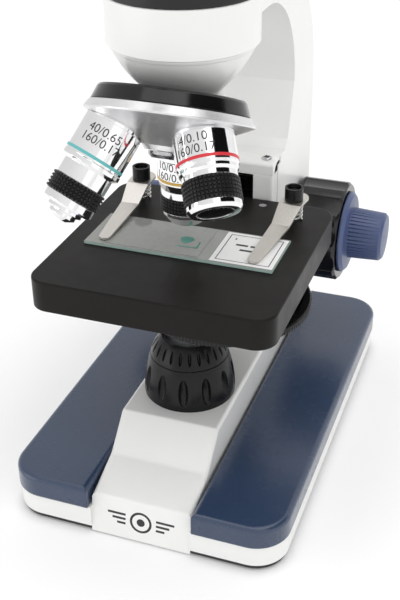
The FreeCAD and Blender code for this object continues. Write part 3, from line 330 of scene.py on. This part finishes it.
def lathed(profile, steps, axes):
    """A closed outline of (radius, height) corners swept round an axis."""
    points = [
        around(radius, 360 * step / steps, height, axes)
        for step in range(steps) for radius, height in profile
    ]
    count = len(profile)
    faces = []
    for step in range(steps):
        here, there = step * count, (step + 1) % steps * count
        for corner in range(count):
            after = (corner + 1) % count
            faces.append((here + corner, there + corner, there + after, here + after))
    return points, faces


def slab(corners, low, high):
    """A flat plate with the given corners, in order, between two heights."""
    count = len(corners)
    points = [Vector((x, y, z)) for z in (low, high) for x, y in corners]
    faces = [tuple(reversed(range(count))), tuple(range(count, 2 * count))]
    for corner in range(count):
        after = (corner + 1) % count
        faces.append((corner, after, count + after, count + corner))
    return points, faces


def rectangle(x0, y0, x1, y1):
    """The corners of a rectangle given in millimetres."""
    return [(x0 * MM, y0 * MM), (x1 * MM, y0 * MM), (x1 * MM, y1 * MM), (x0 * MM, y1 * MM)]


TILT = math.radians(24.2)
APEX_HEIGHT = 193.9 * MM
BARREL = 10.7 * MM
GRIP_INNER, GRIP_VALLEY, GRIP_PEAK = 8.85 * MM, 9.4 * MM, 9.95 * MM
GRIP_CELLS = 44


def objective_axes(index):
    """An objective's own axes: its height is minus the station measured from the apex."""
    apex = Matrix.Translation((0, 0, APEX_HEIGHT))
    swing = Matrix.Rotation(math.radians(120 * index), 4, "Z")
    return apex @ Matrix.Rotation(-TILT, 4, "X") @ swing @ Matrix.Rotation(TILT, 4, "X")


def frustum_faces():
    """The top and four sides of a shape whose points are a base square and then a top square."""
    return [(4, 5, 6, 7)] + [(i, (i + 1) % 4, 4 + (i + 1) % 4, 4 + i) for i in range(4)]


def knurled_ring(inner, valley, peak, first, last, rows, count, axes):
    """A ring covered with rows of flat-topped pyramids."""
    foot_inset, top_inset = 0.04, 0.27
    shapes = [lathed([(inner, -first), (valley, -first), (valley, -last), (inner, -last)], 96, axes)]
    tall = (last - first) / rows
    wide = 360 / count
    for row in range(rows):
        top = first + row * tall
        for cell in range(count):
            left = cell * wide
            points = []
            for radius, near in ((valley, foot_inset), (peak, top_inset)):
                far = 1 - near
                for across, along in ((near, near), (far, near), (far, far), (near, far)):
                    points.append(around(radius, left + across * wide, -(top + along * tall), axes))
            shapes.append((points, frustum_faces()))
    return joined(shapes)


def numerals(name, text, size, axes, station, facing, body):
    """Engraved figures wrapped round a barrel, reading along it with their tops towards the turret."""
    curve = bpy.data.curves.new(name, "FONT")
    curve.body = text
    curve.size = size
    curve.align_x = "CENTER"
    curve.align_y = "CENTER"
    maker = bpy.data.objects.new(f"{name}_maker", curve)
    bpy.context.scene.collection.objects.link(maker)
    bpy.context.view_layer.update()
    flat = maker.to_mesh()
    work = bmesh.new()
    work.from_mesh(flat)
    maker.to_mesh_clear()
    bpy.data.objects.remove(maker)
    reach = max(abs(vertex.co.x) for vertex in work.verts)
    strip = 0.5 * MM
    cuts = int(reach / strip) + 1
    for step in range(-cuts, cuts + 1):
        everything = work.verts[:] + work.edges[:] + work.faces[:]
        bmesh.ops.bisect_plane(work, geom=everything, plane_co=(step * strip, 0, 0), plane_no=(1, 0, 0))
    work.verts.ensure_lookup_table()
    lifted = BARREL + 0.03 * MM
    points = [
        around(lifted, facing + math.degrees(v.co.x / BARREL), v.co.y - station, axes) for v in work.verts
    ]
    faces = [tuple(v.index for v in face.verts) for face in work.faces]
    work.free()
    return piece(name, (points, faces), INK, body)


def dress_objectives():
    """Knurled grips, colour bands and engraved figures on the three objectives."""
    inner, outer = BARREL - 0.15 * MM, BARREL + 0.10 * MM
    half_band = 0.55
    line_pitch, figure_size = 3.8, 4.3
    for name, index, grip, rows, band, paint, figures, facing, station in (
        ("10x", 0, (67.5, 73.7), 5, 60.4, AMBER_BAND, ("10/0.25", "160/0.17"), -100, 54.4),
        ("40x", 1, (68.6, 74.9), 5, 58.9, TEAL_BAND, ("40/0.65", "160/0.17"), 167, 50.0),
        ("4x", 2, (61.4, 69.5), 6, 55.4, RED_BAND, ("4/0.10", "160/0.17"), 25, 48.8),
    ):
        axes = objective_axes(index)
        first, last = grip
        ring = knurled_ring(GRIP_INNER, GRIP_VALLEY, GRIP_PEAK, first * MM, last * MM, rows, GRIP_CELLS, axes)
        grip_piece = piece(f"knurled_grip_{name}", ring, KNURL, "nosepiece")
        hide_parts(f"objective_{name}_grip")
        low, high = (band - half_band) * MM, (band + half_band) * MM
        profile = [(inner, -low), (outer, -low), (outer, -high), (inner, -high)]
        piece(f"colour_band_{name}", lathed(profile, 96, axes), paint, "nosepiece")
        if name == "4x":
            # a blackened bore as on the real objective, closed by a black plug that is painted shade deep in
            # the bore
            liner = [(6.38, -58.2), (6.38, -72.2), (6.0, -72.2), (6.0, -65.4), (0.2, -65.4), (0.2, -58.2)]
            liner = [(radius * MM, height * MM) for radius, height in liner]
            piece("blackened_bore_and_painted_shade_4x", lathed(liner, 72, axes), TUBE, "nosepiece")
        for line, text in enumerate(figures):
            at = (station + line_pitch * line) * MM
            numerals(f"figures_{name}_{line}", text, figure_size * MM, axes, at, facing, "nosepiece")


def dress_slide():
    """The label card with its ruled border, the stained section and the mount's edge lines."""
    low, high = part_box("specimen_slide")
    top = high[2]
    card_top = top + 0.06 * MM
    card_shape = slab(rectangle(12.6, -11.0, 37.2, 13.2), top, card_top)
    piece("label_card", card_shape, CARD, "specimen")
    ink_top = card_top + 0.02 * MM
    rules = []
    for corners in (
        (14.4, -9.4, 35.6, -9.05), (14.4, 11.3, 35.6, 11.65),
        (14.4, -9.05, 14.75, 11.3), (35.25, -9.05, 35.6, 11.3),
    ):
        rules.append(slab(rectangle(*corners), card_top, ink_top))
    rule_width = 1.3
    for x0, x1, y in ((17.0, 17.6, 7.6), (18.6, 23.4, 3.2), (24.4, 30.6, 3.2), (21.2, 28.6, -0.6)):
        rules.append(slab(rectangle(x0, y, x1, y + rule_width), card_top, ink_top))
    piece("label_rules", joined(rules), INK, "specimen")

    cover_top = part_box("cover_slip")[1][2]
    section = []
    corners = 24
    for corner in range(corners):
        angle = 2 * math.pi * corner / corners
        reach = (2.7 + 0.25 * math.sin(3 * angle) + 0.15 * math.sin(7 * angle)) * MM
        section.append((-0.6 * MM + reach * math.cos(angle), 1.4 * MM + reach * math.sin(angle)))
    section_shape = slab(section, cover_top, cover_top + 0.04 * MM)
    piece("stained_section", section_shape, TISSUE, "specimen")
    strokes = []
    for outline in (
        ((-3.2, -4.6), (5.4, -4.3), (5.4, -3.6), (-3.2, -4.1)),
        ((4.9, -4.3), (5.7, -4.0), (5.3, 1.2), (4.8, 1.2)),
    ):
        stroke = [(x * MM, y * MM) for x, y in outline]
        strokes.append(slab(stroke, cover_top, cover_top + 0.05 * MM))
    piece("mount_edge", joined(strokes), TISSUE, "specimen")

    x0, y0, x1, y1 = -38.5, -11.7, 37.5, 13.9
    chamfer, wide = 0.15 * MM, 0.12
    rims = [
        slab(rectangle(*corners), low[2] + chamfer, top - chamfer)
        for corners in (
            (x0, y0 - wide, x1, y0), (x0, y1, x1, y1 + wide),
            (x1, y0, x1 + wide, y1), (x0 - wide, y0, x0, y1),
        )
    ]
    piece("slide_rim", joined(rims), EDGE_GLASS, "specimen")


def dress_disc():
    """Fine upright ribs round the aperture disc's rim."""
    axes = Matrix.Translation((15.5 * MM, 0, 0))
    low, high = 81.6 * MM, 84.1 * MM
    crest, valley, inner = 33.95 * MM, 33.62 * MM, 33.5 * MM
    count = 150
    points, faces = [], []
    for step in range(2 * count):
        radius = crest if step % 2 else valley
        points += [around(radius, 180 * step / count, height, axes) for height in (low, high)]
        points += [around(inner, 180 * step / count, height, axes) for height in (high, low)]
    for step in range(2 * count):
        here, there = 4 * step, (4 * step + 4) % (8 * count)
        for corner in range(4):
            after = (corner + 1) % 4
            faces.append((here + corner, there + corner, there + after, here + after))
    piece("disc_ribs", (points, faces), PLASTIC, "diaphragm")


def dress_cover():
    """The crisp ledge on top of the column cover, with its cross-headed screw, whose cross recess is drawn as
    dark bars of painted shade.
    """
    half = 19.6 * MM
    side = [(50.0, 113.9), (50.0, 118.3), (50.7, 119.2), (60.5, 119.55), (60.5, 113.9)]
    points = [Vector((x, y * MM, z * MM)) for x in (-half, half) for y, z in side]
    faces = [(0, 1, 2, 3, 4), (9, 8, 7, 6, 5)]
    faces += [(i, 5 + i, 5 + (i + 1) % 5, (i + 1) % 5) for i in range(5)]
    ledge = piece("cover_ledge", (points, faces), WHITE, "stand")
    soft = ledge.modifiers.new("soft_edges", "BEVEL")
    soft.width = 0.45 * MM
    soft.segments = 3

    axes = Matrix.Translation((15.2 * MM, 55.4 * MM, 119.5 * MM))
    head = [(0.1, 0.0), (2.3, 0.0), (2.2, 0.35), (1.4, 0.7), (0.1, 0.8)]
    head = [(radius * MM, height * MM) for radius, height in head]
    piece("cover_screw", lathed(head, 40, axes), STEEL, "stand", smooth=True)
    # the cross is dark bars standing proud of the head: painted shade in place of the shadowed recess
    arms = []
    for turn in (35, 125):
        swing = axes @ Matrix.Rotation(math.radians(turn), 4, "Z")
        bar = [(-1.3, -0.28), (1.3, -0.28), (1.3, 0.28), (-1.3, 0.28)]
        points = [swing @ Vector((x * MM, y * MM, z * MM)) for z in (0.6, 0.86) for x, y in bar]
        arms.append((points, [(3, 2, 1, 0)] + frustum_faces()))
    piece("cover_screw_cross_painted_shade", joined(arms), INK, "stand")


def front_mark():
    """A plain lens mark on the leaning front of the base: a ring, a dot and six bars."""
    centre = 9.4
    front, lean, proud = -57.5, 0.157, 0.06

    def face_point(x, up):
        y = front + lean * (up - 5)
        return Vector((x * MM, (y - proud) * MM, up * MM))

    def spread(outline):
        return [face_point(x, up) for x, up in outline], [tuple(range(len(outline)))]

    def circle(radius, steps):
        angles = [2 * math.pi * step / steps for step in range(steps)]
        return [(radius * math.cos(angle), centre + radius * math.sin(angle)) for angle in angles]

    steps = 48
    ring = [face_point(x, up) for radius in (4.6, 3.6) for x, up in circle(radius, steps)]
    faces = [(i, (i + 1) % steps, steps + (i + 1) % steps, steps + i) for i in range(steps)]
    shapes = [(ring, faces), spread(circle(1.7, 24))]
    bar_start, bar_width = 6.4, 1.0
    for side in (-1, 1):
        for rise, reach in ((1.6, 14.0), (-0.4, 12.0), (-2.4, 10.0)):
            low, high = centre + rise, centre + rise + bar_width
            near, far = side * bar_start, side * reach
            shapes.append(spread([(near, low), (far, low), (far, high), (near, high)]))
    piece("front_mark", joined(shapes), INK, "stand")


# ------------------------------------------------------------------ studio


def aimed(at, height):
    """The rotation that points something at a height on the optical axis."""
    return (Vector((0, 0, height)) - Vector(at)).to_track_quat("-Z", "Y").to_euler()


def card(name, at, width, height, glow):
    """A dark card facing the object that only shows in polished surfaces."""
    mesh = bpy.data.meshes.new(name)
    half, tall = width / 2, height / 2
    corners = [(-half, -tall, 0), (half, -tall, 0), (half, tall, 0), (-half, tall, 0)]
    mesh.from_pydata(corners, [], [(0, 1, 2, 3)])
    obj = bpy.data.objects.new(name, mesh)
    obj.location = at
    obj.rotation_euler = aimed(at, 0.13)
    bpy.context.scene.collection.objects.link(obj)
    paint = Finish(f"{name}_paint", Roughness=1.0, Specular_IOR_Level=0.0)
    brighter = 1.1 * glow
    tones = rgba(glow, glow, glow), rgba(brighter, brighter, brighter)
    paint.colour(paint.blend(paint.span(paint.noise(3), 0, 1), *tones))
    dress(obj, paint.done())
    obj.visible_camera = False
    obj.visible_diffuse = False
    obj.visible_shadow = False
    obj.visible_transmission = False


def make_studio():
    """A white room with a pale floor, a dark card to the right and three soft lights."""
    world = bpy.data.worlds.new("studio")
    world.use_nodes = True
    bpy.context.scene.world = world
    tree = world.node_tree
    back = next(n for n in tree.nodes if n.type == "BACKGROUND")
    back.inputs["Color"].default_value = rgba(1, 1, 1)
    # the room is a little brighter on the right
    across = tree.nodes.new("ShaderNodeSeparateXYZ")
    tree.links.new(tree.nodes.new("ShaderNodeTexCoord").outputs["Generated"], across.inputs[0])
    glow = tree.nodes.new("ShaderNodeMapRange")
    for socket, value in (("From Min", -1), ("From Max", 1), ("To Min", 0.76), ("To Max", 1.0)):
        glow.inputs[socket].default_value = value
    tree.links.new(across.outputs["X"], glow.inputs["Value"])
    tree.links.new(glow.outputs["Result"], back.inputs["Strength"])

    bpy.ops.mesh.primitive_plane_add(size=12, location=(0, 0, 0))
    floor = bpy.context.object
    floor.name = "floor"
    pale = Finish("floor_paper", Roughness=0.9, Specular_IOR_Level=0.1)
    tones = rgba(0.95, 0.95, 0.95), rgba(0.97, 0.97, 0.97)
    pale.colour(pale.blend(pale.span(pale.noise(6), 0, 1), *tones))
    dress(floor, pale.done())

    card("card_right", (0.80, 0.02, 0.70), 1.15, 0.8, 0.004)

    for name, at, size, power in (
        ("key", (0.9, -0.5, 0.9), 1.5, 1.6),
        ("top", (0.1, 0.0, 1.9), 1.8, 11),
        ("fill", (-0.75, -0.65, 0.12), 0.7, 2.2),
    ):
        data = bpy.data.lights.new(name, "AREA")
        data.size = size
        data.energy = power
        light = bpy.data.objects.new(name, data)
        light.location = at
        light.rotation_euler = aimed(at, 0.1)
        bpy.context.scene.collection.objects.link(light)
    bpy.context.scene.view_settings.view_transform = "Standard"


dress_nodes()
dress_objectives()
dress_slide()
dress_disc()
dress_cover()
front_mark()
make_camera()
make_studio()
